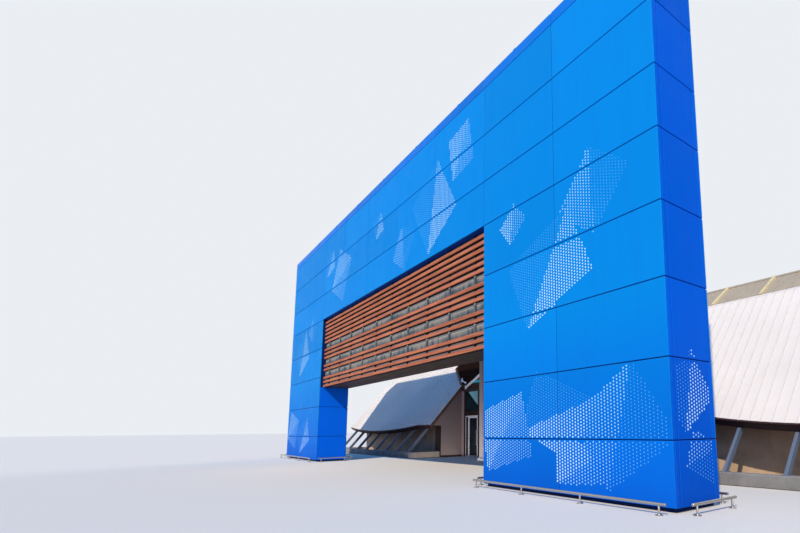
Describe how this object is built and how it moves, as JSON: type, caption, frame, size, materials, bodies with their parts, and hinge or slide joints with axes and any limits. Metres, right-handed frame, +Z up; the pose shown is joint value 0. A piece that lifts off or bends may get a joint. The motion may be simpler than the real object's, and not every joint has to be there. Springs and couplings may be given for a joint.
{
  "type": "supermarket entrance building",
  "caption": "Supermarket front: blue clad portal with a slatted wood fascia before a long hall with a leaning white facade and a glazed entrance.",
  "frame": {"origin": "middle of the footprint at ground level", "axes": "+Z up, the front faces -Y, +X to the right seen from the front"},
  "size_m": [39.6, 28.4752, 12.67],
  "materials": {
    "blue_panel": "satin blue composite sheet",
    "dark_core": "matt dark blue lining",
    "backing_grey": "weathered grey sheet",
    "black_rail": "matt black",
    "slat_wood": "stained red-brown",
    "brown_board": "dark brown stain",
    "stainless": "brushed",
    "white_cladding": "satin white standing seam",
    "barge_brown": "satin brown",
    "roof_grey": "weathered grey-beige sheet",
    "strip_pale": "weathered pale yellow",
    "beige_wall": "matt beige",
    "render_wall": "painted render",
    "concrete": "cast, weathered",
    "strut_steel": "satin blue grey",
    "brown_frame": "satin brown",
    "pane": "clear dark glazing",
    "door_metal": "satin white",
    "bright_steel": "brushed",
    "canopy_sheet": "satin grey",
    "column_beige": "satin beige",
    "white_base": "painted white",
    "brace_steel": "satin silver"
  },
  "bodies": {
    "building": {"front_cassettes_right": "blue_panel", "front_cassettes_left": "blue_panel", "front_cassettes_lintel": "blue_panel", "back_cassettes": "blue_panel", "end_cassettes_right": "blue_panel", "end_cassettes_left": "blue_panel", "reveal_cassettes": "blue_panel", "coping": "blue_panel", "pier_core_right": "dark_core", "pier_core_left": "dark_core", "lintel_core": "dark_core", "fascia_backing": "backing_grey", "fascia_rails": "black_rail", "fascia_slats": "slat_wood", "soffit_boards": "brown_board", "canopy_ceiling": "brown_board", "entrance_boarding": "brown_board", "bumper_rails_right": "stainless", "bumper_rails_left": "stainless", "facade_left": "white_cladding", "facade_right": "white_cladding", "facade_back": "white_cladding", "barge_boards": "barge_brown", "roof_band_front": "roof_grey", "roof_band_back": "roof_grey", "roof_front": "roof_grey", "roof_back": "roof_grey", "roof_strips": "strip_pale", "side_walls": "beige_wall", "corner_posts": "beige_wall", "recess_walls": "render_wall", "gable_walls": "render_wall", "facade_curbs": "concrete", "curb_returns": "concrete", "hall_floor": "concrete", "facade_struts": "strut_steel", "back_struts": "strut_steel", "front_posts": "brown_frame", "front_rails": "brown_frame", "front_glass": "pane", "sidelight_glass": "pane", "door_frame": "door_metal", "door_hinges": "bright_steel", "link_canopy": "canopy_sheet", "porch_columns": "column_beige", "column_bases": "white_base", "porch_braces": "brace_steel"},
    "door": {"door_leaf": "door_metal", "door_glass": "pane", "door_handles": "bright_steel"}
  },
  "joints": [
    {"name": "door_swing", "type": "hinge", "parent": "building", "child": "door", "pos_m": [-5.835, -5.6056, 0], "axis": [0, 0, -1], "range_deg": [0, 90]}
  ]
}
